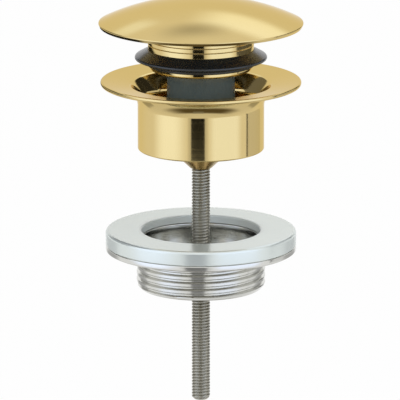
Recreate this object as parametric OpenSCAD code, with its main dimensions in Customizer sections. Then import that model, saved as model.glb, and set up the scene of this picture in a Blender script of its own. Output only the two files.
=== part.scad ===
// Pop up basin waste: a domed push plug over a flanged cup, with a click
// cartridge inside it and a threaded tail piece clamped on a central rod.
// The origin is on the axis where the straight wall of the cup begins.
// Units are millimetres, and Z points up.

/* [Flange and cup] */
// Outer radius of the flange
flange_r = 32.5; // [30:0.1:38]
// Thickness of the flange at its rim
flange_t = 1.4; // [1:0.1:3]
// Outer radius of the cup, which enters the basin's hole
cup_r = 20.5; // [19.5:0.1:22]
// Wall thickness of the cup
cup_wall = 1.8; // [1.4:0.1:2.2]
// Height of the cup's straight wall
cup_h = 14.2; // [11:0.1:30]
// Radius of the fillet under the flange
fillet_r = 7.0; // [5.5:0.1:8]
// Radius at the top of the conical seat in the cup's mouth
mouth_r = 22.0; // [21.5:0.1:23]
// Depth of the seat's upper edge under the rim
mouth_d = 2.1; // [1.6:0.1:3.5]
// Height of the conical seat
seat_h = 4.3; // [3:0.1:5]
// Chamfer between the seat and the dished flange
mouth_edge = 0.9; // [0.4:0.1:1.2]
// Width of the ledge inside the cup's lower end
ledge_w = 1.5; // [1:0.1:2]
// Height of that ledge
ledge_h = 2.0; // [1:0.1:2.5]
// Chamfer at the cup's lower edge
cup_chamfer = 0.5; // [0.2:0.1:1]

/* [Plug] */
// Outer radius of the domed cap
cap_r = 33.1; // [28:0.1:38]
// Height of the dome above the middle of the cap's edge
cap_dome = 8.0; // [5:0.1:12]
// Thickness of the cap's rounded edge
cap_edge = 1.5; // [1.2:0.1:2.5]
// Height of the cap's edge over the flange when the waste is open
cap_lift = 18.7; // [17:0.1:24]
// Metal left above the recess under the cap
cap_shell = 2.2; // [1.5:0.1:3]
// Width of the flat edge around that recess
cap_lip = 2.4; // [1.5:0.1:4]
// Outer radius of the plug's sleeve
plug_r = 17.15; // [16.4:0.05:18.5]
// Thickness of the sleeve's closed top
crown_t = 2.45; // [1.6:0.05:3]
// Depth and half height of the two lines around the sleeve
line_d = 0.15; // [0.1:0.05:0.5]
// Thickness of the sleeve's skirt around the cartridge
skirt_t = 2.0; // [1.5:0.1:2.4]
// Room between the cap's recess and the sleeve
recess_gap = 0.8; // [0.4:0.1:2]
// Radius of the stud that joins the cap, the sleeve and the plunger
stud_r = 3.0; // [2:0.1:3.4]
// How far the stud enters the cap
stud_in_cap = 4.4; // [3:0.1:5]
// How far the stud enters the plunger
stud_in_plunger = 5.0; // [3:0.1:5.4]
// Metal between the stud's hole and the spring's bore
web_t = 1.0; // [0.8:0.1:1.5]

/* [Seal] */
// Radius at the edge of the seal's lip
seal_r = 21.4; // [20.8:0.05:22.2]
// Height of the seal's lower face over the flange when open
seal_lift = 5.3; // [4.2:0.1:6.4]
// Height of the seal
seal_h = 5.1; // [4.4:0.1:6]
// Thickness of the lip at its edge
lip_t = 0.9; // [0.6:0.1:1.4]
// Height of the lip's lower corner over the seal's lower face
lip_up = 1.9; // [1.4:0.1:2.4]
// Depth of the sleeve's groove that holds the seal
groove_d = 1.7; // [1:0.1:2]
// Height of the retaining ring under the seal
ring_h = 1.6; // [1.1:0.1:2.6]
// How far the retaining ring stands inside the sleeve's radius
ring_in = 0.75; // [0.3:0.05:1]
// Radial width of the retaining ring
ring_w = 2.0; // [1.6:0.1:2.4]
// How far the seal stands out around the sleeve
seal_step = 0.45; // [0.2:0.05:0.6]
// Edge rounding at the seal's top
seal_edge = 0.5; // [0.3:0.05:0.7]
// Gap kept between the lip and its seat when closed
seal_gap = 0.15; // [0.1:0.05:0.5]

/* [Cartridge] */
// Room between the cartridge housing and the plug's skirt
case_gap = 1.4; // [1:0.1:1.8]
// Chamfer at the housing's top
case_chamfer = 0.6; // [0.3:0.1:1]
// Wall thickness of the housing
case_wall = 2.0; // [1.6:0.1:2.2]
// Thickness of the guide lip at the housing's mouth
guide_t = 1.2; // [0.8:0.1:1.6]
// Room left over the housing when the plug is down
over_gap = 1.1; // [0.6:0.1:2]
// How far the plunger stands out over its lower neck
neck_step = 0.6; // [0.4:0.05:0.8]
// Radial play of the plunger in its guide
plunger_play = 0.08; // [0.04:0.01:0.1]
// Cross-section radius of the stem's ring seal
oring_r = 0.8; // [0.6:0.05:1]
// Thickness of the stop washer
washer_t = 0.6; // [0.4:0.1:1]
// Room between the stop washer and the plunger
washer_play = 0.4; // [0.2:0.05:0.6]
// Gap between the plunger's flange and the stop washer when open
stop_gap = 0.1; // [0.05:0.05:0.3]
// Thickness of the plunger's flange
collar_t = 1.6; // [1.2:0.1:2]
// Room around the plunger's flange in the cam sleeve
collar_play = 0.4; // [0.3:0.05:0.6]
// Radial width of the rotor
rotor_w = 1.72; // [1.5:0.01:1.9]
// Room around the rotor in the cam sleeve
rotor_room = 0.5; // [0.3:0.05:0.6]
// Radial play of the rotor on that neck
rotor_play = 0.08; // [0.04:0.01:0.1]
// Height of the rotor
rotor_h = 3.0; // [2.6:0.1:3.6]
// Gap above and below the rotor
rotor_gap = 0.1; // [0.05:0.05:0.2]
// Radius of the pegs on the rotor
peg_r = 1.0; // [0.8:0.05:1.2]
// Gap between a peg and its track
peg_gap = 0.35; // [0.3:0.05:0.5]
// Number of pegs
pegs = 4; // [3:1:4]
// Depth of the track in the cam sleeve
track_d = 1.1; // [0.9:0.05:1.2]
// Wall thickness of the cam sleeve
cam_wall = 1.8; // [1.7:0.05:2]
// Thickness of the rotor's clip
clip_t = 0.6; // [0.4:0.05:0.8]
// Depth of the clip's groove in the plunger's neck
clip_d = 0.4; // [0.3:0.05:0.5]
// How far the clip stands out over the neck
clip_w = 1.1; // [0.8:0.1:1.5]
// Width of the clip's gap
clip_slot = 2.0; // [1:0.1:3]
// Wall thickness of the plunger's neck
neck_wall = 1.2; // [1:0.05:1.4]
// Play of the spring in that bore
spring_play = 0.3; // [0.2:0.05:0.4]
// Diameter of the spring's wire
wire_d = 0.8; // [0.6:0.05:0.9]
// Open turns of the spring
spring_turns = 9; // [7:1:10]

/* [Hub] */
// Thickness of the hub's wall around the housing
socket_wall = 1.5; // [1.2:0.1:2]
// Half of the angle at the hub's conical end
hub_half_angle = 47; // [42:1:52]
// How far the hub hangs below the cup
hub_drop = 6.4; // [5:0.1:9]
// Metal around the rod at the hub's tip
hub_tip = 0.5; // [0.3:0.1:1]
// Height of the hub's outer ring
hub_ring_h = 2.8; // [2:0.1:4]
// Width of that ring
hub_ring_w = 1.7; // [1.2:0.1:2]
// Width of the four arms
arm_w = 3.0; // [2:0.1:4]
// Depth of the socket that the housing stands in
socket_d = 2.5; // [2:0.1:3]
// Height of the spigot inside the housing
spigot_h = 3.0; // [2:0.1:3.2]
// Thickness of the spring's seat
seat_t = 0.8; // [0.6:0.1:1.2]
// Height of the seat's pilot pin
pilot_h = 5.0; // [3:0.1:6]
// Room between the pilot pin and the spring
pilot_play = 0.3; // [0.2:0.05:0.5]
// Share of the pilot pin's radius taken by its top chamfer
pilot_taper = 0.26; // [0.1:0.02:0.5]
// Depth of the nut's pocket under the socket
pocket_d = 3.5; // [2.6:0.1:3.8]

/* [Rod] */
// Radius of the rod
rod_r = 3.0; // [2.5:0.1:3]
// Height of the rod's lower end under the flange's seat
rod_reach = 105.4; // [90:0.1:140]
// Chamfer at the rod's lower end
rod_chamfer = 0.8; // [0.4:0.1:1]
// Height of the jam nut
nut_h = 3.2; // [2.4:0.1:3.6]
// Distance across the jam nut's flats
nut_af = 10.0; // [9:0.5:10]
// Room around the nut in its pocket
nut_play = 0.15; // [0.1:0.05:0.3]
// How far the rod stands out over the nut
rod_over = 0.5; // [0.2:0.1:1]

/* [Tail piece] */
// Clear height between the flange's seat and the gasket
clamp_gap = 48.2; // [46:0.1:58]
// Outer radius of the gasket and of the tail's flange
gasket_r = 31.0; // [28:0.1:34]
// Radial room between the gasket and the tail's collar
gasket_room = 0.4; // [0.3:0.05:0.8]
// Width of the gasket's lip over that collar
gasket_lip = 2.4; // [1:0.1:2.6]
// Thickness of the gasket
gasket_t = 4.8; // [3.5:0.1:6]
// Thickness of the tail's flange
tail_flange_t = 1.9; // [1.5:0.1:3]
// Chamfer at the edges of the tail's flange
tail_chamfer = 0.4; // [0.2:0.05:0.6]
// Outer radius of the collar inside the gasket
collar_r = 21.2; // [20.9:0.1:22]
// Height of that collar
collar_h = 2.1; // [1.5:0.1:3]
// Width of the collar's top edge
collar_edge = 2.3; // [1:0.1:2.5]
// Outer radius of the tail's pipe thread
thread_r = 20.955; // [20.9:0.005:21]
// Length of that thread
thread_l = 12.3; // [10:0.1:20]
// Chamfer at the thread's end
thread_chamfer = 1.0; // [0.6:0.1:1.4]
// Wall thickness under the thread
tail_wall = 2.4; // [2:0.1:4]
// Width of the ledge at the tail's lower end
tail_ledge = 1.0; // [0.6:0.1:1.2]
// Height of that ledge
tail_ledge_h = 2.0; // [1.5:0.1:3]
// Radius of the bridge's boss
boss_r = 6.0; // [5:0.1:7]
// Height of the bridge's boss
boss_h = 7.0; // [5:0.1:8]
// Height of the bridge's ring and bar
bridge_h = 3.0; // [2:0.1:4]
// Width of the bridge's bar
bridge_w = 6.0; // [4:0.1:8]
// Width of the bridge's ring
bridge_ring = 1.3; // [1:0.1:2]
// Radial play of the bridge on the rod
rod_play = 0.08; // [0.04:0.01:0.1]

/* [Hidden] */
$fn = 96;
eps = 0.01;

// Flange and cup
seat_z = fillet_r;
rim_z = fillet_r + flange_t;
bore_r = cup_r - cup_wall;
bell_c = cup_r + fillet_r;
mouth_z = rim_z - mouth_d;
ledge_z = ledge_h - cup_h;

// Plug, open
cap_z = rim_z + cap_lift;
cap_under = cap_z - cap_edge / 2;
cap_top = cap_z + cap_dome;
dome_a = cap_r - cap_edge / 2;
dome_h = cap_dome - cap_edge / 2;
dome_r = (dome_a * dome_a + dome_h * dome_h) / (2 * dome_h);
seal_z = rim_z + seal_lift;
seal_top = seal_z + seal_h;
lip_z = seal_z + lip_up;
groove_r = plug_r - groove_d;
ring_z = seal_z - ring_h;
ring_r = plug_r - ring_in;
crown_z = cap_under - crown_t;
skirt_out = ring_r - ring_w;
skirt_r = skirt_out - skirt_t;
line_1 = seal_top + (cap_under - seal_top) * 0.24;
line_2 = seal_top + (cap_under - seal_top) * 0.44;
seat_w = mouth_r - bore_r;
seat_l = sqrt(seat_w * seat_w + seat_h * seat_h);
lip_off = seal_r - lip_t / 2 - bore_r;
lip_low = mouth_z - seat_h + ((lip_t / 2 + seal_gap) * seat_l + lip_off * seat_h) / seat_w;
travel = lip_z + lip_t / 2 - lip_low;

// Cartridge
case_r = skirt_r - case_gap;
case_top = crown_z - travel - over_gap;
case_in = case_r - case_wall;
cam_in = case_in - cam_wall;
rotor_r = cam_in - rotor_room;
neck_r = rotor_r - rotor_w - rotor_play;
plunger_r = neck_r + neck_step;
spring_bore_r = neck_r - neck_wall;
guide_r = plunger_r + plunger_play;
oring_c = plunger_r + plunger_play + oring_r;
oring_z = case_top - guide_t - oring_r;
washer_top = oring_z - oring_r;
cam_top = washer_top - washer_t;
collar_top = cam_top - stop_gap;
neck_top = collar_top - collar_t;
rotor_top = neck_top - rotor_gap;
rotor_z = rotor_top - rotor_h;
peg_z = rotor_z + rotor_h / 2;
clip_top = rotor_z - rotor_gap;
clip_z = clip_top - clip_t;
plunger_z = clip_z - clip_t;
track_r = cam_in + track_d;
peg_end = track_r - peg_gap;
turn = 180 / pegs;
slope = atan(cam_in * turn * PI / 180 / travel);
track_a = asin((peg_r + peg_gap) / cos(slope) / cam_in);
track_up = peg_r + peg_gap;
track_turn = turn * (travel + 2 * track_up) / travel;
spring_r = spring_bore_r - spring_play - wire_d / 2;

// Hub and rod
hub_r = case_r + socket_wall;
socket_z = ledge_z + hub_ring_h - socket_d;
hub_top = ledge_z + hub_ring_h;
spigot_z = socket_z + spigot_h;
seat_top = spigot_z + seat_t;
tip_z = -cup_h - hub_drop;
tip_r = rod_r + hub_tip;
cone_z = tip_z + (hub_r - tip_r) / tan(hub_half_angle);
pocket_r = nut_af / sqrt(3) + nut_play;
pocket_z = socket_z - pocket_d;
nut_top = pocket_z + nut_h;
rod_top = nut_top + rod_over;
rod_end = seat_z - rod_reach;

// Spring
spring_top = crown_z - stud_in_plunger - web_t;
pilot_top = seat_top + pilot_h;
pilot_r = spring_r - wire_d / 2 - pilot_play;
pilot_chamfer = pilot_taper * pilot_r;

// Tail piece
gasket_top = seat_z - clamp_gap;
gasket_z = gasket_top - gasket_t;
gasket_in = collar_r + gasket_room;
hook_r = gasket_in - gasket_lip;
hook_z = gasket_z + collar_h + gasket_room / 4;
thread_top = gasket_z - tail_flange_t;
tail_end = thread_top - thread_l;
tail_bore = thread_r - tail_wall;
bridge_z = tail_end + tail_ledge_h;

// The flanged cup, turned from one profile
module flange_cup() {
    color("#d9b46c")
    rotate_extrude() {
        difference() {
            polygon([
                [bore_r, -cup_h],
                [cup_r - cup_chamfer, -cup_h],
                [cup_r, cup_chamfer - cup_h],
                [cup_r, 0],
                [bell_c, 0],
                [bell_c, seat_z],
                [flange_r - flange_t / 2, seat_z],
                [flange_r - flange_t / 2, rim_z],
                [mouth_r + mouth_edge, mouth_z + mouth_edge],
                [mouth_r, mouth_z],
                [bore_r, mouth_z - seat_h]
            ]);
            translate([bell_c, 0])
                circle(fillet_r);
        }
        translate([bore_r - ledge_w, -cup_h])
            square([ledge_w + cup_wall / 2, ledge_h]);
        translate([flange_r - flange_t / 2, seat_z + flange_t / 2])
            circle(flange_t / 2);
    }
}

// Ring, four arms, the housing's socket and a conical hub for the rod
module hub_spider() {
    color("#b8924c") {
        rotate_extrude()
            polygon([
                [rod_r, tip_z],
                [tip_r, tip_z],
                [hub_r, cone_z],
                [hub_r, hub_top],
                [case_r, hub_top],
                [case_r, socket_z],
                [case_in, socket_z],
                [case_in, spigot_z],
                [pocket_r, spigot_z],
                [pocket_r, pocket_z],
                [rod_r, pocket_z]
            ]);
        rotate_extrude()
            translate([bore_r - hub_ring_w, ledge_z])
                square([hub_ring_w, hub_ring_h]);
        for (k = [0 : 3])
            rotate(45 + 90 * k)
                translate([case_r + socket_wall / 2, -arm_w / 2, ledge_z])
                    cube([bore_r - hub_ring_w / 2 - case_r - socket_wall / 2, arm_w, hub_ring_h]);
    }
}

// Threaded rod
module threaded_rod() {
    color("#8f8a80")
    rotate_extrude()
        polygon([
            [0, rod_end],
            [rod_r - rod_chamfer, rod_end],
            [rod_r, rod_end + rod_chamfer],
            [rod_r, rod_top],
            [0, rod_top]
        ]);
}

// Hexagonal nut that locks the rod in the hub
module jam_nut() {
    color("#a8a69e")
    translate([0, 0, pocket_z])
        difference() {
            cylinder(r = nut_af / sqrt(3), h = nut_h, $fn = 6);
            translate([0, 0, -1])
                cylinder(r = rod_r, h = nut_h + 2);
        }
}

// Black housing of the click cartridge
module cartridge_housing() {
    color("#17171a")
    rotate_extrude()
        polygon([
            [case_in, socket_z],
            [case_r, socket_z],
            [case_r, case_top - case_chamfer],
            [case_r - case_chamfer, case_top],
            [guide_r, case_top],
            [guide_r, case_top - guide_t],
            [oring_c + oring_r, case_top - guide_t],
            [oring_c + oring_r, washer_top],
            [case_in, washer_top]
        ]);
}

// Disc with a pilot pin under the spring
module spring_seat() {
    color("#b9b7b0")
    rotate_extrude()
        polygon([
            [0, spigot_z],
            [case_in, spigot_z],
            [case_in, seat_top],
            [pilot_r, seat_top],
            [pilot_r, pilot_top - pilot_chamfer],
            [pilot_r - pilot_chamfer, pilot_top],
            [0, pilot_top]
        ]);
}

// One slanted leg of the cam track, from the foot angle to the head angle
module track_leg(foot, way) {
    translate([0, 0, peg_z - travel - track_up])
        rotate(foot - way * track_turn / 2 + way * turn / 2)
            linear_extrude(
                height = travel + 2 * track_up,
                twist = -way * track_turn,
                slices = 10,
                $fn = 5
            )
                polygon(concat(
                    [for (a = [-1 : 1]) track_r * [cos(a * track_a), sin(a * track_a)]],
                    [for (a = [1 : -2 : -1]) (cam_in - 0.6) * [cos(a * track_a), sin(a * track_a)]]
                ));
}

// Fixed sleeve with a zigzag track that turns the rotor at each push
module cam_sleeve() {
    color("#e8e6de")
    difference() {
        translate([0, 0, seat_top])
            cylinder(r = case_in, h = cam_top - seat_top);
        translate([0, 0, seat_top - 1])
            cylinder(r = cam_in, h = cam_top - seat_top + 2);
        for (k = [0 : pegs - 1]) {
            track_leg(turn + 360 * k / pegs, -1);
            track_leg(turn + 360 * k / pegs, 1);
        }
    }
}

// Washer that stops the plunger's flange and holds the ring seal
module stop_washer() {
    color("#9a9a98")
    translate([0, 0, cam_top])
        difference() {
            cylinder(r = case_in, h = washer_t);
            translate([0, 0, -1])
                cylinder(r = plunger_r + washer_play, h = washer_t + 2);
        }
}

// Ring seal around the plunger
module stem_oring() {
    color("#2a2a2c")
    rotate_extrude()
        translate([oring_c, oring_z])
            circle(oring_r, $fn = 24);
}

// Return spring, with a closed turn at each end
function spring_rise(t) =
    t < 1 ? t * wire_d * 1.05
    : t > spring_turns + 1
        ? spring_top - seat_top - wire_d - (spring_turns + 2 - t) * wire_d * 1.05
        : wire_d * 1.05 + (t - 1) / spring_turns
            * (spring_top - seat_top - wire_d - 2.1 * wire_d);

module return_spring() {
    per_turn = 15;
    sides = 6;
    steps = per_turn * (spring_turns + 2);
    points = [
        for (i = [0 : steps], j = [0 : sides - 1])
            let (t = i / per_turn, a = 360 * t, b = 360 * j / sides)
            [
                (spring_r + wire_d / 2 * cos(b)) * cos(a),
                (spring_r + wire_d / 2 * cos(b)) * sin(a),
                seat_top + wire_d / 2 + spring_rise(t) + wire_d / 2 * sin(b)
            ]
    ];
    around = [
        for (i = [0 : steps - 1], j = [0 : sides - 1])
            [
                i * sides + j,
                (i + 1) * sides + j,
                (i + 1) * sides + (j + 1) % sides,
                i * sides + (j + 1) % sides
            ]
    ];
    first = [[for (j = [0 : sides - 1]) j]];
    last = [[for (j = [sides - 1 : -1 : 0]) steps * sides + j]];
    color("#c9c9c6")
        polyhedron(points = points, faces = concat(first, around, last), convexity = 10);
}

// Domed cap with a recess under its edge
module dome_cap() {
    color("#dcb871")
    rotate_extrude() {
        difference() {
            intersection() {
                translate([0, cap_top - dome_r])
                    circle(dome_r, $fn = 360);
                translate([0, cap_under])
                    square([dome_a, cap_dome + cap_edge]);
            }
            intersection() {
                translate([0, cap_top - dome_r])
                    circle(dome_r - cap_shell, $fn = 360);
                translate([plug_r + recess_gap, cap_under - 1])
                    square([dome_a - cap_lip - plug_r - recess_gap, cap_dome]);
            }
            translate([-1, cap_under - 1])
                square([stud_r + 1, stud_in_cap + 1]);
        }
        translate([dome_a, cap_z])
            circle(cap_edge / 2);
    }
}

// Stud that joins the cap, the sleeve and the plunger
module cap_stud() {
    color("#a8a69e")
    translate([0, 0, crown_z - stud_in_plunger])
        cylinder(r = stud_r, h = stud_in_plunger + crown_t + stud_in_cap);
}

// Sleeve of the plug, with a groove for the seal and two fine lines
module plug_sleeve() {
    color("#d9b46c")
    rotate_extrude()
        polygon([
            [stud_r, crown_z],
            [skirt_r, crown_z],
            [skirt_r, ring_z],
            [skirt_out, ring_z],
            [skirt_out, seal_z],
            [groove_r, seal_z],
            [groove_r, seal_top],
            [plug_r, seal_top],
            [plug_r, line_1 - line_d],
            [plug_r - line_d, line_1],
            [plug_r, line_1 + line_d],
            [plug_r, line_2 - line_d],
            [plug_r - line_d, line_2],
            [plug_r, line_2 + line_d],
            [plug_r, cap_under],
            [stud_r, cap_under]
        ]);
}

// Rubber seal with a thin lip
module lip_seal() {
    color("#232428")
    rotate_extrude() {
        polygon([
            [groove_r, seal_z],
            [plug_r + seal_step, seal_z],
            [plug_r + seal_step, lip_z - lip_up / 2],
            [plug_r + 2.4 * seal_step, lip_z - lip_up / 6],
            [seal_r - lip_t / 2, lip_z],
            [seal_r - lip_t / 2, lip_z + lip_t],
            [plug_r + 2 * seal_step, seal_top - seal_edge],
            [plug_r + 0.4 * seal_edge, seal_top],
            [groove_r, seal_top]
        ]);
        translate([seal_r - lip_t / 2, lip_z + lip_t / 2])
            circle(lip_t / 2, $fn = 24);
    }
}

// Ring that holds the seal from below
module seal_retainer() {
    color("#d9b46c")
    rotate_extrude() {
        translate([skirt_out, ring_z + ring_h * 0.4])
            square([ring_r - skirt_out, ring_h * 0.6]);
        translate([skirt_out, ring_z])
            square([ring_r - skirt_out - ring_h * 0.4, ring_h]);
        translate([ring_r - ring_h * 0.4, ring_z + ring_h * 0.4])
            circle(ring_h * 0.4, $fn = 32);
    }
}

// Hollow plunger with a stop flange and a neck for the rotor
module plunger() {
    color("#c9a25a")
    rotate_extrude()
        polygon([
            [spring_bore_r, plunger_z],
            [neck_r, plunger_z],
            [neck_r, clip_z],
            [neck_r - clip_d, clip_z],
            [neck_r - clip_d, clip_top],
            [neck_r, clip_top],
            [neck_r, neck_top],
            [cam_in - collar_play, neck_top],
            [cam_in - collar_play, collar_top],
            [plunger_r, collar_top],
            [plunger_r, crown_z],
            [stud_r, crown_z],
            [stud_r, crown_z - stud_in_plunger],
            [0, crown_z - stud_in_plunger],
            [0, spring_top],
            [spring_bore_r, spring_top]
        ]);
}

// Clip that keeps the rotor on the plunger
module rotor_clip() {
    color("#b9b7b0")
    translate([0, 0, clip_z])
        difference() {
            cylinder(r = neck_r + clip_w, h = clip_t);
            translate([0, 0, -1])
                cylinder(r = neck_r - clip_d, h = clip_t + 2);
            translate([0, -clip_slot / 2, -1])
                cube([neck_r + 2 * clip_w, clip_slot, clip_t + 2]);
        }
}

// Rotor whose pegs follow the cam track
module cam_rotor() {
    color("#cfd6dc")
    difference() {
        union() {
            translate([0, 0, rotor_z])
                cylinder(r = rotor_r, h = rotor_h);
            for (k = [0 : pegs - 1])
                rotate(360 * k / pegs)
                    translate([rotor_r - rotor_w / 3, 0, peg_z])
                        rotate([0, 90, 0])
                            cylinder(r = peg_r, h = peg_end - rotor_r + rotor_w / 3, $fn = 32);
        }
        translate([0, 0, rotor_z - 1])
            cylinder(r = neck_r + rotor_play, h = rotor_h + 2);
    }
}

// Clear sealing ring that presses on the basin from below
module tail_gasket() {
    color("#cfcfca")
    rotate_extrude()
        polygon([
            [gasket_in, gasket_z],
            [gasket_r, gasket_z],
            [gasket_r, gasket_top],
            [hook_r, gasket_top],
            [hook_r, hook_z],
            [gasket_in, hook_z]
        ]);
}

// Flanged tail with a pipe thread
module tail_body() {
    color("#b9b4aa")
    rotate_extrude()
        polygon([
            [tail_bore, gasket_z],
            [collar_r - collar_edge, gasket_z + collar_h],
            [collar_r, gasket_z + collar_h],
            [collar_r, gasket_z],
            [gasket_r - tail_chamfer, gasket_z],
            [gasket_r, gasket_z - tail_chamfer],
            [gasket_r, thread_top + tail_chamfer],
            [gasket_r - tail_chamfer, thread_top],
            [thread_r, thread_top],
            [thread_r, tail_end + thread_chamfer],
            [thread_r - thread_chamfer, tail_end],
            [tail_bore - tail_ledge, tail_end],
            [tail_bore - tail_ledge, bridge_z],
            [tail_bore, bridge_z]
        ]);
}

// Bridge in the tail that runs on the rod's thread
module tail_bridge() {
    color("#a8a69e")
    translate([0, 0, bridge_z])
        difference() {
            union() {
                cylinder(r = boss_r, h = boss_h);
                difference() {
                    cylinder(r = tail_bore, h = bridge_h);
                    translate([0, 0, -1])
                        cylinder(r = tail_bore - bridge_ring, h = bridge_h + 2);
                }
                translate([-bridge_w / 2, -tail_bore + bridge_ring / 2, 0])
                    cube([bridge_w, 2 * tail_bore - bridge_ring, bridge_h]);
            }
            translate([0, 0, -1])
                cylinder(r = rod_r + rod_play, h = boss_h + 2);
        }
}

flange_cup();
hub_spider();
threaded_rod();
jam_nut();
cartridge_housing();
spring_seat();
cam_sleeve();
stop_washer();
stem_oring();
return_spring();
dome_cap();
cap_stud();
plug_sleeve();
lip_seal();
seal_retainer();
plunger();
rotor_clip();
cam_rotor();
tail_gasket();
tail_body();
tail_bridge();
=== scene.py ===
import math

import bmesh
import bpy
from mathutils import Matrix, Vector


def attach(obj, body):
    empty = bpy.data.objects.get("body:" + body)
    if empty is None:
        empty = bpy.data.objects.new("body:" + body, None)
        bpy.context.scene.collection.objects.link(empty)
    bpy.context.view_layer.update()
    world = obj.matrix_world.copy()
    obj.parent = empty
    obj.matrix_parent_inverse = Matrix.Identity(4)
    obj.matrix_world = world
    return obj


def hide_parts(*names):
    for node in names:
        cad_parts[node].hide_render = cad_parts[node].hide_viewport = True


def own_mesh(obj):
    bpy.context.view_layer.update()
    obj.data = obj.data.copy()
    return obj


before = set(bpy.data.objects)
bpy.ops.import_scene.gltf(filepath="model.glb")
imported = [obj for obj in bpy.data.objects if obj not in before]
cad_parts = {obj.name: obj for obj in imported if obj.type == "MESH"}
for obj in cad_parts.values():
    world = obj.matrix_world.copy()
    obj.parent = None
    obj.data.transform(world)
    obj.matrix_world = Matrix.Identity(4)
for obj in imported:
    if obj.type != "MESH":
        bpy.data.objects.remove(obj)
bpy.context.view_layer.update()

# Flanged cup: the part that is seen in the basin's hole.
# Turned from a brass casting, polished and gold plated. The flange is dished towards a conical seat for the
# seal, runs into the wall in a fillet, and a ledge at the bottom of the bore carries the hub.
MM = 0.001


def srgb(code):
    """The linear colour of an sRGB hex value."""
    parts = [int(code[i : i + 2], 16) / 255 for i in (1, 3, 5)]
    return [p / 12.92 if p <= 0.04045 else ((p + 0.055) / 1.055) ** 2.4 for p in parts] + [1]


def add_node(tree, kind, inputs={}, **settings):
    """Adds a node with its settings. An input is a value, or the socket that is linked to it."""
    made = tree.nodes.new("ShaderNode" + kind)
    for name, value in settings.items():
        setattr(made, name, value)
    for key, value in inputs.items():
        if isinstance(value, bpy.types.NodeSocket):
            tree.links.new(value, made.inputs[key])
        else:
            made.inputs[key].default_value = value
    return made


def new_finish(name):
    """An empty material, named for what the surface is."""
    finish = bpy.data.materials.new(name)
    finish.use_nodes = True
    finish.node_tree.nodes.clear()
    return finish, finish.node_tree


def from_axis(tree, place):
    """The distance from the part's axis, as a socket."""
    flat = add_node(tree, "VectorMath", {0: place, 1: (1, 1, 0)}, operation="MULTIPLY")
    return add_node(tree, "VectorMath", {0: flat.outputs[0]}, operation="LENGTH").outputs["Value"]


def turning_lines(tree, place, width):
    """The fine lines that turning and polishing leave around the axis, as a socket. The width is in mm."""
    up = add_node(tree, "SeparateXYZ", {0: place})
    ring = add_node(tree, "CombineXYZ", {"X": from_axis(tree, place), "Z": up.outputs["Z"]})
    noise = {"Vector": ring.outputs[0], "Scale": 1 / (width * MM), "Detail": 3}
    return add_node(tree, "TexNoise", noise).outputs[0]


def turned(section, rounds, steps=160):
    """A shape turned on a lathe from its half section in mm. Rounds gives some corners a radius in mm.
    A section that starts on the axis stays open there."""
    bm = bmesh.new()
    corners = [bm.verts.new((r * MM, 0, z * MM)) for r, z in section]
    ends = corners[1:] + corners[:1]
    if section[0][0] == 0:
        ends = corners[1:]
    for a, b in zip(corners, ends):
        bm.edges.new((a, b))
    for corner, radius in rounds.items():
        bmesh.ops.bevel(
            bm, geom=[corners[corner]], offset=radius * MM, segments=4 + int(radius * 2),
            profile=0.5, affect="VERTICES", material=-1,
        )
    bmesh.ops.spin(
        bm, geom=bm.verts[:] + bm.edges[:], cent=(0, 0, 0), axis=(0, 0, 1),
        angle=2 * math.pi, steps=steps, use_merge=True,
    )
    return bm


def finished(name, bm, finish, sharp=35):
    """The object of a finished shape, closed, with its faces outwards and shaded smooth."""
    bmesh.ops.remove_doubles(bm, verts=bm.verts[:], dist=0.0005 * MM)
    bmesh.ops.recalc_face_normals(bm, faces=bm.faces[:])
    mesh = bpy.data.meshes.new(name)
    bm.to_mesh(mesh)
    bm.free()
    mesh.polygons.foreach_set("use_smooth", [True] * len(mesh.polygons))
    mesh.set_sharp_from_angle(angle=math.radians(sharp))
    mesh.materials.append(finish)
    obj = bpy.data.objects.new(name, mesh)
    bpy.context.collection.objects.link(obj)
    even = obj.modifiers.new("even_shading", "WEIGHTED_NORMAL")
    even.keep_sharp = True
    return obj


# Gold plating on polished brass: a warm pale mirror. Polishing leaves faint lines around the axis, which
# show only as small changes of gloss.
gold, tree = new_finish("gold_plating_polished")
place = add_node(tree, "TexCoord").outputs["Object"]
# lines 0.4 mm apart, drawn a few times coarser than the real ones so that they show
lines = turning_lines(tree, place, 0.4)
gloss = add_node(tree, "MapRange", {0: lines, 1: 0.3, 2: 0.7, 3: 0.07, 4: 0.11})
# slow changes of tint over about 12 mm, from the thickness of the plating
cloud = add_node(tree, "TexNoise", {"Vector": place, "Scale": 1 / (12 * MM), "Detail": 2})
tint = add_node(
    tree, "Mix", {0: cloud.outputs[0], 6: srgb("#d4bd83"), 7: srgb("#d8c187")}, data_type="RGBA"
)
relief = add_node(tree, "Bump", {"Strength": 0.04, "Distance": 0.02 * MM, "Height": lines})
shader = add_node(
    tree, "BsdfPrincipled",
    {
        "Base Color": tint.outputs[2], "Metallic": 1, "Roughness": gloss.outputs[0],
        "Specular Tint": srgb("#efe1be"), "Normal": relief.outputs[0],
    },
)
add_node(tree, "OutputMaterial", {"Surface": shader.outputs[0]})

cup = turned(
    [(17.2, -14.2), (20.5, -14.2), (20.5, 7.0), (32.5, 7.0), (32.5, 8.45), (22.9, 7.2), (22.0, 6.3),
     (18.7, 2.0), (18.7, -12.2), (17.2, -12.2)],
    {0: 0.2, 1: 0.5, 2: 7.0, 3: 0.65, 4: 0.65, 5: 0.6, 6: 0.6, 7: 1.0, 9: 0.3},
    steps=192,
)
cup = finished("cup_with_flange", cup, gold)
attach(cup, "basin_body")
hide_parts("flange_cup")

# Spider with the hub: a ring, four arms and a cone, pressed on the cup's ledge.
# A brass casting, gold plated with the cup but only brushed, so it is browner and duller. The rod screws
# into the tip of the cone.
spider_gold, tree = new_finish("gold_plating_on_cast_brass")
place = add_node(tree, "TexCoord").outputs["Object"]
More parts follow.
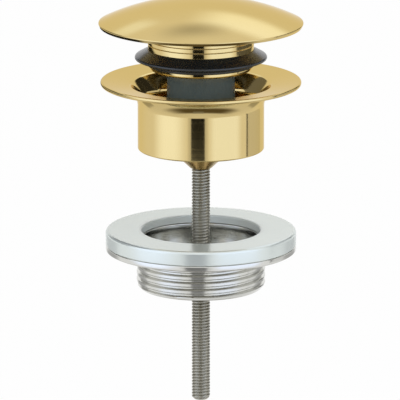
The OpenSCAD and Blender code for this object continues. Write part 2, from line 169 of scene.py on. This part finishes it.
# the cast skin's grain, about 0.5 mm
grain = add_node(tree, "TexNoise", {"Vector": place, "Scale": 1 / (0.5 * MM), "Detail": 4})
gloss = add_node(tree, "MapRange", {0: grain.outputs[0], 1: 0.3, 2: 0.7, 3: 0.16, 4: 0.28})
tint = add_node(
    tree, "Mix", {0: grain.outputs[0], 6: srgb("#a88a4c"), 7: srgb("#b8985a")}, data_type="RGBA"
)
relief = add_node(
    tree, "Bump", {"Strength": 0.15, "Distance": 0.05 * MM, "Height": grain.outputs[0]}
)
shader = add_node(
    tree, "BsdfPrincipled",
    {
        "Base Color": tint.outputs[2], "Metallic": 1, "Roughness": gloss.outputs[0],
        "Normal": relief.outputs[0],
    },
)
add_node(tree, "OutputMaterial", {"Surface": shader.outputs[0]})

spider = turned(
    [(3.0, -20.6), (3.5, -20.6), (12.5, -12.2), (12.5, -9.4), (11.0, -9.4), (11.0, -11.9), (9.0, -11.9),
     (9.0, -8.9), (5.92, -8.9), (5.92, -15.4), (3.0, -15.4)],
    {1: 0.2, 2: 0.8, 3: 0.3, 8: 0.3},
    steps=128,
)
band = turned(
    [(17.0, -12.2), (18.7, -12.2), (18.7, -9.4), (17.0, -9.4)], {0: 0.3, 2: 0.3, 3: 0.4}, steps=128
)
band_mesh = bpy.data.meshes.new("spider_band")
band.to_mesh(band_mesh)
band.free()
spider.from_mesh(band_mesh)
for k in range(4):
    arm = bmesh.ops.create_cube(spider, size=1)["verts"]
    bmesh.ops.scale(spider, vec=(6.1 * MM, 3.0 * MM, 2.8 * MM), verts=arm)
    bmesh.ops.translate(spider, vec=(14.8 * MM, 0, -10.8 * MM), verts=arm)
    long_edges = [
        e for e in {e for v in arm for e in v.link_edges}
        if abs(e.verts[0].co.x - e.verts[1].co.x) > 1 * MM
    ]
    rounded = bmesh.ops.bevel(
        spider, geom=long_edges, offset=0.5 * MM, segments=3, profile=0.5, affect="EDGES", material=-1
    )
    whole = {v for v in arm if v.is_valid} | {v for f in rounded["faces"] for v in f.verts}
    turn = Matrix.Rotation(math.radians(45 + 90 * k), 3, "Z")
    bmesh.ops.rotate(spider, cent=(0, 0, 0), matrix=turn, verts=list(whole))
spider = finished("spider_and_hub", spider, spider_gold)
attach(spider, "basin_body")
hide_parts("hub_spider")

# Threaded rod: an M6 rod, 1 mm of pitch, screwed into the hub and locked there by a nut.
# Rolled from steel wire and zinc plated, then cut to length and chamfered at its free end.
ROD_PITCH = 1.0
ROD_END = -98.4


def threaded(section, pitch, turns, steps):
    """A thread: a section in mm wound around the axis, rising by one pitch in each turn. The turns that
    meet are merged."""
    bm = bmesh.new()
    points = [bm.verts.new((r * MM, 0, z * MM)) for r, z in section]
    edges = [bm.edges.new(pair) for pair in zip(points, points[1:])]
    bmesh.ops.spin(
        bm, geom=points + edges, cent=(0, 0, 0), axis=(0, 0, 1), dvec=(0, 0, pitch / steps * MM),
        angle=2 * math.pi * turns, steps=steps * turns,
    )
    bmesh.ops.remove_doubles(bm, verts=bm.verts[:], dist=0.002 * MM)
    return bm


def cut_level(bm, z, way):
    """Cuts a shape off at a height in mm, below it (-1) or above it (1), and closes the cut."""
    cut = bmesh.ops.bisect_plane(
        bm, geom=bm.verts[:] + bm.edges[:] + bm.faces[:], dist=0.0001 * MM,
        plane_co=(0, 0, z * MM), plane_no=(0, 0, way), clear_outer=True,
    )
    rim = [e for e in cut["geom_cut"] if isinstance(e, bmesh.types.BMEdge)]
    bmesh.ops.edgeloop_fill(bm, edges=rim)


def chamfer_end(bm, radius, z):
    """Takes the crests off at the lower end of a thread, which has that radius and height in mm."""
    for v in bm.verts:
        limit = radius * MM + max(v.co.z - z * MM, 0)
        wide = math.hypot(v.co.x, v.co.y)
        if wide > limit:
            v.co.x *= limit / wide
            v.co.y *= limit / wide


# Zinc on rolled steel: grey with a brown cast, half dull, brighter along the crests.
zinc, tree = new_finish("zinc_plated_steel_rolled")
place = add_node(tree, "TexCoord").outputs["Object"]
# spangles of about 1.5 mm
spangle = add_node(tree, "TexNoise", {"Vector": place, "Scale": 1 / (1.5 * MM), "Detail": 4})
tint = add_node(
    tree, "Mix", {0: spangle.outputs[0], 6: srgb("#9c998c"), 7: srgb("#b3b0a4")}, data_type="RGBA"
)
gloss = add_node(tree, "MapRange", {0: spangle.outputs[0], 1: 0.3, 2: 0.7, 3: 0.26, 4: 0.38})
shader = add_node(
    tree, "BsdfPrincipled",
    {"Base Color": tint.outputs[2], "Metallic": 1, "Roughness": gloss.outputs[0]},
)
add_node(tree, "OutputMaterial", {"Surface": shader.outputs[0]})

rod = threaded(
    [(2.62, -100.5), (2.68, -100.4), (2.96, -100.2), (3.0, -100.13), (3.0, -99.87), (2.96, -99.8),
     (2.68, -99.6), (2.62, -99.5)],
    ROD_PITCH, 92, 20,
)
cut_level(rod, ROD_END, -1)
cut_level(rod, -11.7, 1)
chamfer_end(rod, 2.2, ROD_END)
rod = finished("rod_threaded", rod, zinc, sharp=60)
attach(rod, "basin_body")
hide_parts("threaded_rod")

# Small steel pieces in the hub and the cartridge: the nut that locks the rod, the spring's seat, the stop
# washer, the rotor's clip and the stud of the cap. Turned or stamped from stainless steel.
stainless, tree = new_finish("stainless_steel_turned")
place = add_node(tree, "TexCoord").outputs["Object"]
# tool marks of about 0.3 mm
marks = add_node(tree, "TexNoise", {"Vector": place, "Scale": 1 / (0.3 * MM), "Detail": 3})
gloss = add_node(tree, "MapRange", {0: marks.outputs[0], 1: 0.3, 2: 0.7, 3: 0.2, 4: 0.32})
tint = add_node(
    tree, "Mix", {0: marks.outputs[0], 6: srgb("#b4b2ac"), 7: srgb("#c2c0ba")}, data_type="RGBA"
)
relief = add_node(
    tree, "Bump", {"Strength": 0.1, "Distance": 0.02 * MM, "Height": marks.outputs[0]}
)
shader = add_node(
    tree, "BsdfPrincipled",
    {
        "Base Color": tint.outputs[2], "Metallic": 1, "Roughness": gloss.outputs[0],
        "Normal": relief.outputs[0],
    },
)
add_node(tree, "OutputMaterial", {"Surface": shader.outputs[0]})
for name in ("jam_nut", "spring_seat", "stop_washer", "rotor_clip", "cap_stud"):
    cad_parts[name].material_slots[0].material = stainless

# Cartridge housing: a black cup that stands in the hub and holds the click mechanism.
# Moulded in glossy acetal. Its top guides the plunger.
acetal_black, tree = new_finish("acetal_black_moulded")
place = add_node(tree, "TexCoord").outputs["Object"]
# a moulded surface waves over about 4 mm
wave = add_node(tree, "TexNoise", {"Vector": place, "Scale": 1 / (4 * MM), "Detail": 2})
gloss = add_node(tree, "MapRange", {0: wave.outputs[0], 1: 0.3, 2: 0.7, 3: 0.14, 4: 0.24})
tint = add_node(
    tree, "Mix", {0: wave.outputs[0], 6: srgb("#68726c"), 7: srgb("#727d76")}, data_type="RGBA"
)
relief = add_node(
    tree, "Bump", {"Strength": 0.08, "Distance": 0.05 * MM, "Height": wave.outputs[0]}
)
shader = add_node(
    tree, "BsdfPrincipled",
    {
        "Base Color": tint.outputs[2], "Roughness": gloss.outputs[0], "IOR": 1.48,
        "Normal": relief.outputs[0],
    },
)
add_node(tree, "OutputMaterial", {"Surface": shader.outputs[0]})

housing = turned(
    [(9.0, -11.9), (11.0, -11.9), (11.0, 12.667), (5.58, 12.667), (5.58, 11.467), (7.18, 11.467),
     (7.18, 9.867), (9.0, 9.867)],
    {1: 0.3, 2: 0.8, 3: 0.3},
    steps=128,
)
housing = finished("housing_of_cartridge", housing, acetal_black)
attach(housing, "basin_body")
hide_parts("cartridge_housing")

# Click mechanism: a white sleeve with the zigzag track, and a grey rotor whose pegs run in it.
# Both are moulded in acetal. The two colours tell the pieces apart in assembly.
for name, code_a, code_b, node in (
    ("acetal_white_moulded", "#e6e4dc", "#efede6", "cam_sleeve"),
    ("acetal_grey_moulded", "#85888a", "#919496", "cam_rotor"),
):
    acetal, tree = new_finish(name)
    place = add_node(tree, "TexCoord").outputs["Object"]
    # flow marks of about 2 mm
    flow = add_node(tree, "TexNoise", {"Vector": place, "Scale": 1 / (2 * MM), "Detail": 3})
    tint = add_node(
        tree, "Mix", {0: flow.outputs[0], 6: srgb(code_a), 7: srgb(code_b)}, data_type="RGBA"
    )
    gloss = add_node(tree, "MapRange", {0: flow.outputs[0], 1: 0.3, 2: 0.7, 3: 0.3, 4: 0.42})
    shader = add_node(
        tree, "BsdfPrincipled",
        {"Base Color": tint.outputs[2], "Roughness": gloss.outputs[0], "IOR": 1.48},
    )
    add_node(tree, "OutputMaterial", {"Surface": shader.outputs[0]})
    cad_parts[node].material_slots[0].material = acetal

# Return spring: eleven turns of 0.8 mm stainless wire between the seat and the plunger, with a closed turn
# at each end. Coiled cold, so the wire is smooth and bright.
spring_steel, tree = new_finish("spring_wire_stainless_drawn")
place = add_node(tree, "TexCoord").outputs["Object"]
# drawing marks of about 0.2 mm
marks = add_node(tree, "TexNoise", {"Vector": place, "Scale": 1 / (0.2 * MM), "Detail": 2})
gloss = add_node(tree, "MapRange", {0: marks.outputs[0], 1: 0.3, 2: 0.7, 3: 0.15, 4: 0.25})
tint = add_node(
    tree, "Mix", {0: marks.outputs[0], 6: srgb("#c2c2be"), 7: srgb("#d0d0cc")}, data_type="RGBA"
)
shader = add_node(
    tree, "BsdfPrincipled",
    {"Base Color": tint.outputs[2], "Metallic": 1, "Roughness": gloss.outputs[0]},
)
add_node(tree, "OutputMaterial", {"Surface": shader.outputs[0]})

spring = bmesh.new()
wire = bmesh.ops.create_circle(
    spring, radius=0.4 * MM, segments=12,
    matrix=Matrix.Translation((3.0 * MM, 0, -7.7 * MM)) @ Matrix.Rotation(math.pi / 2, 4, "X"),
)["verts"]
first = wire[:]
last = wire + list({e for v in wire for e in v.link_edges})
for turns, rise in ((1, 0.84), (9, 23.52), (1, 0.84)):
    last = bmesh.ops.spin(
        spring, geom=last, cent=(0, 0, 0), axis=(0, 0, 1), dvec=(0, 0, rise * MM / (turns * 32)),
        angle=2 * math.pi * turns, steps=turns * 32,
    )["geom_last"]
bmesh.ops.contextual_create(spring, geom=list({e for v in first for e in v.link_edges if e.is_boundary}))
bmesh.ops.contextual_create(spring, geom=[e for e in last if isinstance(e, bmesh.types.BMEdge)])
spring = finished("spring_coiled", spring, spring_steel)
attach(spring, "basin_body")
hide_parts("return_spring")
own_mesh(spring)

# Plunger: the hollow stem that carries the plug and pushes the rotor round.
# Turned from brass and left bare. It runs in the housing's guide.
brass, tree = new_finish("brass_turned")
place = add_node(tree, "TexCoord").outputs["Object"]
# turning lines of about 0.25 mm
lines = add_node(tree, "TexNoise", {"Vector": place, "Scale": 1 / (0.25 * MM), "Detail": 3})
gloss = add_node(tree, "MapRange", {0: lines.outputs[0], 1: 0.3, 2: 0.7, 3: 0.18, 4: 0.3})
tint = add_node(
    tree, "Mix", {0: lines.outputs[0], 6: srgb("#bd9c56"), 7: srgb("#cbab66")}, data_type="RGBA"
)
shader = add_node(
    tree, "BsdfPrincipled",
    {"Base Color": tint.outputs[2], "Metallic": 1, "Roughness": gloss.outputs[0]},
)
add_node(tree, "OutputMaterial", {"Surface": shader.outputs[0]})
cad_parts["plunger"].material_slots[0].material = brass

# Sleeve of the plug: a turned brass ring with two fine lines, polished and gold plated.
# The cap is screwed on top of it by the stud, and the seal sits in its groove.
sleeve = turned(
    [(3.0, 23.9), (12.4, 23.9), (12.4, 12.1), (14.4, 12.1), (14.4, 13.7), (15.45, 13.7), (15.45, 18.8),
     (17.15, 18.8), (17.15, 20.46), (17.0, 20.61), (17.15, 20.76), (17.15, 21.97), (17.0, 22.12),
     (17.15, 22.27), (17.15, 26.35), (3.0, 26.35)],
    {2: 0.2, 3: 0.2, 7: 0.15, 8: 0.06, 9: 0.05, 10: 0.06, 11: 0.06, 12: 0.05, 13: 0.06},
    steps=160,
)
sleeve = finished("sleeve_of_plug", sleeve, gold)
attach(sleeve, "plug")
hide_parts("plug_sleeve")

# Lip seal: a ring of black rubber in the sleeve's groove, with a thin lip that closes on the cup's bell.
# Moulded in EPDM with a smooth satin skin and a slight bloom.
rubber, tree = new_finish("rubber_EPDM_moulded")
place = add_node(tree, "TexCoord").outputs["Object"]
# bloom in patches of about 6 mm
bloom = add_node(tree, "TexNoise", {"Vector": place, "Scale": 1 / (6 * MM), "Detail": 3})
tint = add_node(
    tree, "Mix", {0: bloom.outputs[0], 6: srgb("#1a1d1f"), 7: srgb("#272b2d")}, data_type="RGBA"
)
shader = add_node(
    tree, "BsdfPrincipled", {"Base Color": tint.outputs[2], "Roughness": 0.24, "IOR": 1.52}
)
add_node(tree, "OutputMaterial", {"Surface": shader.outputs[0]})

seal = turned(
    [(15.45, 13.7), (17.6, 13.7), (17.6, 14.65), (18.23, 15.28), (21.4, 15.6), (21.4, 16.5),
     (18.05, 18.3), (17.35, 18.8), (15.45, 18.8)],
    {1: 0.3, 2: 0.3, 3: 0.3, 4: 0.42, 5: 0.42, 6: 0.3, 7: 0.2},
    steps=160,
)
seal = finished("seal_with_lip", seal, rubber)
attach(seal, "plug")
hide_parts("lip_seal")
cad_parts["stem_oring"].material_slots[0].material = rubber

# Ring under the seal: a turned brass ring, gold plated.
# It is pressed on the sleeve's skirt to keep the seal in.
retainer = turned(
    [(14.4, 12.1), (16.4, 12.1), (16.4, 13.7), (14.4, 13.7)], {0: 0.15, 1: 0.62, 2: 0.15}, steps=160
)
retainer = finished("ring_under_seal", retainer, gold)
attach(retainer, "plug")
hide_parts("seal_retainer")

# Domed cap: pressed from brass, with a rolled edge and a recess beneath, polished and gold plated.
# The stud is screwed into the boss in its middle.
CAP_R = 33.1
CAP_TOP = 35.1
CAP_FOOT = 26.35
DOME_R = 75.8
DOME_Z = CAP_TOP - DOME_R
# the recess follows the dome 2.2 mm below it, from the lip to the boss
SHELL_R = DOME_R - 2.2
LIP_R = 29.95
BOSS_R = 17.95
# the edge is rolled on from the dome, and its side falls back to the underside
ROLL_R = 0.35
UNDERCUT = math.radians(25)
EDGE_ANGLE = math.asin((CAP_R - ROLL_R) / (DOME_R - ROLL_R))
ROLL_Z = DOME_Z + (DOME_R - ROLL_R) * math.cos(EDGE_ANGLE)

cap = bmesh.new()
crown = [cap.verts.new((0, 0, CAP_TOP * MM))]
arc = bmesh.ops.spin(
    cap, geom=crown, cent=(0, 0, DOME_Z * MM), axis=(0, 1, 0), angle=EDGE_ANGLE, steps=40
)["geom_last"]
edge = bmesh.ops.spin(
    cap, geom=[v for v in arc if isinstance(v, bmesh.types.BMVert)],
    cent=((CAP_R - ROLL_R) * MM, 0, ROLL_Z * MM), axis=(0, 1, 0),
    angle=math.pi / 2 + UNDERCUT - EDGE_ANGLE, steps=12,
)["geom_last"]
last = [v for v in edge if isinstance(v, bmesh.types.BMVert)][0]
foot_r = last.co.x / MM - (last.co.z / MM - CAP_FOOT) * math.tan(UNDERCUT)
lip_z = DOME_Z + math.sqrt(SHELL_R**2 - LIP_R**2)
for r, z in ((foot_r, CAP_FOOT), (LIP_R, CAP_FOOT), (LIP_R, lip_z)):
    corner = cap.verts.new((r * MM, 0, z * MM))
    cap.edges.new((last, corner))
    last = corner
roof = bmesh.ops.spin(
    cap, geom=[last], cent=(0, 0, DOME_Z * MM), axis=(0, 1, 0), steps=16,
    angle=math.asin(BOSS_R / SHELL_R) - math.asin(LIP_R / SHELL_R),
)["geom_last"]
last = [v for v in roof if isinstance(v, bmesh.types.BMVert)][0]
for r, z in ((BOSS_R, CAP_FOOT), (3.0, CAP_FOOT), (3.0, 30.75), (0, 30.75)):
    corner = cap.verts.new((r * MM, 0, z * MM))
    cap.edges.new((last, corner))
    last = corner
bmesh.ops.spin(
    cap, geom=cap.verts[:] + cap.edges[:], cent=(0, 0, 0), axis=(0, 0, 1),
    angle=2 * math.pi, steps=192, use_merge=True,
)
cap = finished("cap_domed", cap, gold)
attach(cap, "plug")
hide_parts("dome_cap")

# Clear ring on the tail: a thick washer that seals against the basin from below. Its lip lies over the
# tail's collar. Moulded in translucent silicone: the nickel that shines through it is given as a share
# of metal, which fades out at the lip's free edge, where there is none behind it.
silicone, tree = new_finish("silicone_clear_moulded")
place = add_node(tree, "TexCoord").outputs["Object"]
# the milky haze changes over about 9 mm
haze = add_node(tree, "TexNoise", {"Vector": place, "Scale": 1 / (9 * MM), "Detail": 1})
tint = add_node(
    tree, "Mix", {0: haze.outputs[0], 6: srgb("#e2e8e1"), 7: srgb("#e6ece5")}, data_type="RGBA"
)
# the nickel behind the ring begins 0.2 to 1.2 mm from the free edge
backed = add_node(
    tree, "MapRange", {0: from_axis(tree, place), 1: 19.4 * MM, 2: 20.4 * MM, 3: 0.0, 4: 0.52}
)
shader = add_node(
    tree, "BsdfPrincipled",
    {"Base Color": tint.outputs[2], "Metallic": backed.outputs[0], "Roughness": 0.24, "IOR": 1.41},
)
add_node(tree, "OutputMaterial", {"Surface": shader.outputs[0]})

gasket = turned(
    [(21.6, -45.98), (31.0, -45.98), (31.0, -41.2), (19.2, -41.2), (19.2, -43.8), (21.6, -43.8)],
    {0: 0.3, 1: 0.3, 2: 1.0, 3: 0.6, 4: 0.2},
    steps=192,
)
gasket = finished("gasket_clear", gasket, silicone)
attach(gasket, "gasket")
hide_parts("tail_gasket")

# Tail: the flanged nut that clamps the basin, with a collar for the clear ring and an inch and a quarter
# pipe thread for the trap. Turned from brass and nickel plated.
TAIL_PITCH = 2.309
THREAD_END = -59.9

nickel, tree = new_finish("nickel_plating_polished")
place = add_node(tree, "TexCoord").outputs["Object"]
# turning lines 0.5 mm apart
lines = turning_lines(tree, place, 0.5)
gloss = add_node(tree, "MapRange", {0: lines, 1: 0.3, 2: 0.7, 3: 0.1, 4: 0.18})
tint = add_node(tree, "Mix", {0: lines, 6: srgb("#cfcfca"), 7: srgb("#dadad5")}, data_type="RGBA")
relief = add_node(tree, "Bump", {"Strength": 0.08, "Distance": 0.03 * MM, "Height": lines})
shader = add_node(
    tree, "BsdfPrincipled",
    {
        "Base Color": tint.outputs[2], "Metallic": 1, "Roughness": gloss.outputs[0],
        "Normal": relief.outputs[0],
    },
)
add_node(tree, "OutputMaterial", {"Surface": shader.outputs[0]})

tail = turned(
    [(18.555, -46.0), (18.9, -43.9), (21.2, -43.9), (21.2, -46.0), (31.0, -46.0), (31.0, -47.9),
     (20.05, -47.9), (20.05, -60.2), (17.555, -60.2), (17.555, -58.2), (18.555, -58.2)],
    {1: 0.2, 2: 0.3, 4: 0.4, 5: 0.4, 7: 0.3, 8: 0.2},
    steps=160,
)
thread = threaded(
    [(19.4, -64.6), (20.0, -64.5), (20.15, -64.42), (20.8, -64.08), (20.955, -63.9), (20.955, -63.1),
     (20.8, -62.92), (20.15, -62.58), (20.0, -62.5), (19.4, -62.4), (19.4, -64.6)],
    TAIL_PITCH, 8, 120,
)
cut_level(thread, THREAD_END, -1)
cut_level(thread, -48.7, 1)
chamfer_end(thread, 20.1, THREAD_END)
bmesh.ops.recalc_face_normals(thread, faces=thread.faces[:])
thread_mesh = bpy.data.meshes.new("tail_thread")
thread.to_mesh(thread_mesh)
thread.free()
tail.from_mesh(thread_mesh)
tail = finished("tail_with_thread", tail, nickel)
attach(tail, "tail")
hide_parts("tail_body")
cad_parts["tail_bridge"].material_slots[0].material = nickel

# Studio: a pale floor well below the part, and a white surround, which the camera sees as plain white.
# Soft panels light it from the sides, the back and above. Dim and dark cards, out of the camera's sight,
# give the polished walls their dark stripe and edges.


def seen_or_mirrored(tree):
    """1 for rays from the camera, in mirrors and in clear pieces, and 0 for the rest, as a socket."""
    path = add_node(tree, "LightPath").outputs
    shown = path["Is Camera Ray"]
    for kind in ("Is Glossy Ray", "Is Transmission Ray"):
        shown = add_node(tree, "Math", {0: shown, 1: path[kind]}, operation="MAXIMUM").outputs[0]
    return shown


world = bpy.data.worlds.new("white_surround")
bpy.context.scene.world = world
world.use_nodes = True
tree = world.node_tree
tree.nodes.clear()
level = add_node(tree, "MapRange", {0: seen_or_mirrored(tree), 1: 0, 2: 1, 3: 0.55, 4: 1})
sky = add_node(tree, "Background", {"Color": (1, 1, 1, 1), "Strength": level.outputs[0]})
add_node(tree, "OutputWorld", {"Surface": sky.outputs[0]})

paper, tree = new_finish("paper_white_matt")
share = add_node(tree, "Math", {0: seen_or_mirrored(tree), 1: 0.98}, operation="MULTIPLY")
matt = add_node(tree, "BsdfDiffuse", {"Color": srgb("#f2f2f0")})
white = add_node(tree, "Emission", {"Color": (1, 1, 1, 1), "Strength": 1})
both = add_node(tree, "MixShader", {0: share.outputs[0], 1: matt.outputs[0], 2: white.outputs[0]})
add_node(tree, "OutputMaterial", {"Surface": both.outputs[0]})
floor = bmesh.new()
bmesh.ops.create_circle(floor, cap_ends=True, radius=4, segments=96)
bmesh.ops.translate(floor, vec=(0, 0, -0.35), verts=floor.verts[:])
floor = finished("floor", floor, paper)


def panel(name, centre, target, size, strength, edge, colour=(1, 1, 1, 1)):
    """A panel that faces the target. It glows at one strength and fades out over a share of its width and
    height at the edges. A low strength makes a dark card."""
    glow, tree = new_finish(name)
    place = add_node(tree, "SeparateXYZ", {0: add_node(tree, "TexCoord").outputs["Object"]})
    fades = []
    for axis, share in zip("XY", edge):
        far = add_node(tree, "Math", {0: place.outputs[axis]}, operation="ABSOLUTE")
        fades.append(
            add_node(
                tree, "MapRange", {0: far.outputs[0], 1: 0.5, 2: 0.5 - share, 3: 0, 4: 1},
                interpolation_type="SMOOTHSTEP",
            )
        )
    fade = add_node(tree, "Math", {0: fades[0].outputs[0], 1: fades[1].outputs[0]}, operation="MULTIPLY")
    clear = add_node(tree, "BsdfTransparent")
    lit = add_node(tree, "Emission", {"Color": colour, "Strength": strength})
    both = add_node(tree, "MixShader", {0: fade.outputs[0], 1: clear.outputs[0], 2: lit.outputs[0]})
    add_node(tree, "OutputMaterial", {"Surface": both.outputs[0]})
    shape = bmesh.new()
    bmesh.ops.create_grid(shape, x_segments=1, y_segments=1, size=0.5)
    board = finished(name, shape, glow)
    board.location = centre
    board.rotation_euler = (Vector(target) - Vector(centre)).to_track_quat("Z", "Y").to_euler()
    board.scale = (*size, 1)
    board.visible_camera = False


def around(azimuth, distance, z):
    """A point at an azimuth from the camera's side, positive to the right."""
    a = math.radians(azimuth)
    return (distance * math.sin(a), -distance * math.cos(a), z)


COOL = (0.92, 1.0, 1.2, 1)
AMBER = (1, 0.8, 0.45, 1)
# the light
panel("panel_left", around(-60, 0.8, 0.31), (0, 0, 0.31), (1.3, 1.18), 1.45, (0.42, 0.03), COOL)
panel("panel_right", around(46, 0.8, 0.31), (0, 0, 0.31), (1.12, 1.18), 1.36, (0.25, 0.03), COOL)
panel("panel_back", (0.28, 0.94, 0.88), (0, 0, 0.03), (0.8, 0.6), 1.5, (0.35, 0.35), COOL)
panel("panel_back_left", (-0.36, 0.988, 0.794), (0, 0, 0.03), (0.34, 0.36), 1.3, (0.4, 0.4), COOL)
panel("ceiling", (-0.04, 0.57, 0.79), (0, 0, 0.03), (0.46, 0.34), 0.62, (0.5, 0.5))
# the stripe on the cup and the tail, with a dimmer border, and the line at the cup's right
panel("dim_front", (-0.055, -0.52, -0.1), (-0.055, 0, -0.1), (0.38, 0.2), 0.74, (0.15, 0.05))
panel("dark_flag", (-0.045, -0.46, -0.075), (-0.045, 0, -0.075), (0.21, 0.11), 0.01, (0.04, 0.04))
panel("dark_low", (-0.006, -0.071, -0.0625), (-0.006, 0, -0.0625), (0.03, 0.027), 0.25, (0.15, 0.1))
panel("dim_right", around(115, 0.7, 0.02), (0, 0, 0.02), (0.62, 0.52), 0.78, (0.12, 0.03))
panel("dark_strip", around(92, 0.6, 0.05), (0, 0, 0.05), (0.056, 0.5), 0.15, (0.3, 0.03))
# the floor under the rolled edges and the flange's fillet
panel("table", (0, -0.25, -0.345), (0, -0.25, 0), (2.6, 1.6), 0.84, (0.4, 0.3))
panel("dark_floor", (0.03, -0.2, -0.335), (0.03, -0.2, 0), (1.1, 0.42), 0.12, (0.35, 0.35), AMBER)
# the shade at both ends of the walls, and at both ends of the tail
for side, azimuth, strength in (("left", -125, 0.2), ("right", 125, 0.03)):
    behind = around(azimuth, 1.0, 0.4)
    panel("dark_behind_" + side, behind, (0, 0, 0.4), (1.1, 0.7), strength, (0.1, 0.1))
    beside = around(azimuth, 0.11, -0.078)
    panel("dim_tail_" + side, beside, (0, 0, -0.078), (0.1, 0.05), 0.5, (0.3, 0.2))
# the dark line along the cap's edge
panel("card_left", (-0.056, 0.03, 0.004), (-0.056, 0.03, 0.1), (0.044, 0.13), 0.02, (0.15, 0.1))
panel("card_right", around(108, 0.1, 0.001), (0, 0, 0.001), (0.13, 0.01), 0.12, (0.1, 0.1))

# Camera: a long lens 1.7 m away, 13.6 degrees above the part.
camera = bpy.data.objects.new("camera", bpy.data.cameras.new("camera"))
bpy.context.collection.objects.link(camera)
camera.data.lens = 470.5
camera.data.sensor_width = 36
aim = Vector((-0.0003, 0, -0.0315))
away = 1.7
lift = math.radians(13.6)
camera.location = aim + away * Vector((0, -math.cos(lift), math.sin(lift)))
camera.rotation_euler = (aim - camera.location).to_track_quat("-Z", "Y").to_euler()
camera.data.clip_end = 20
bpy.context.scene.camera = camera
bpy.context.scene.view_settings.view_transform = "Standard"
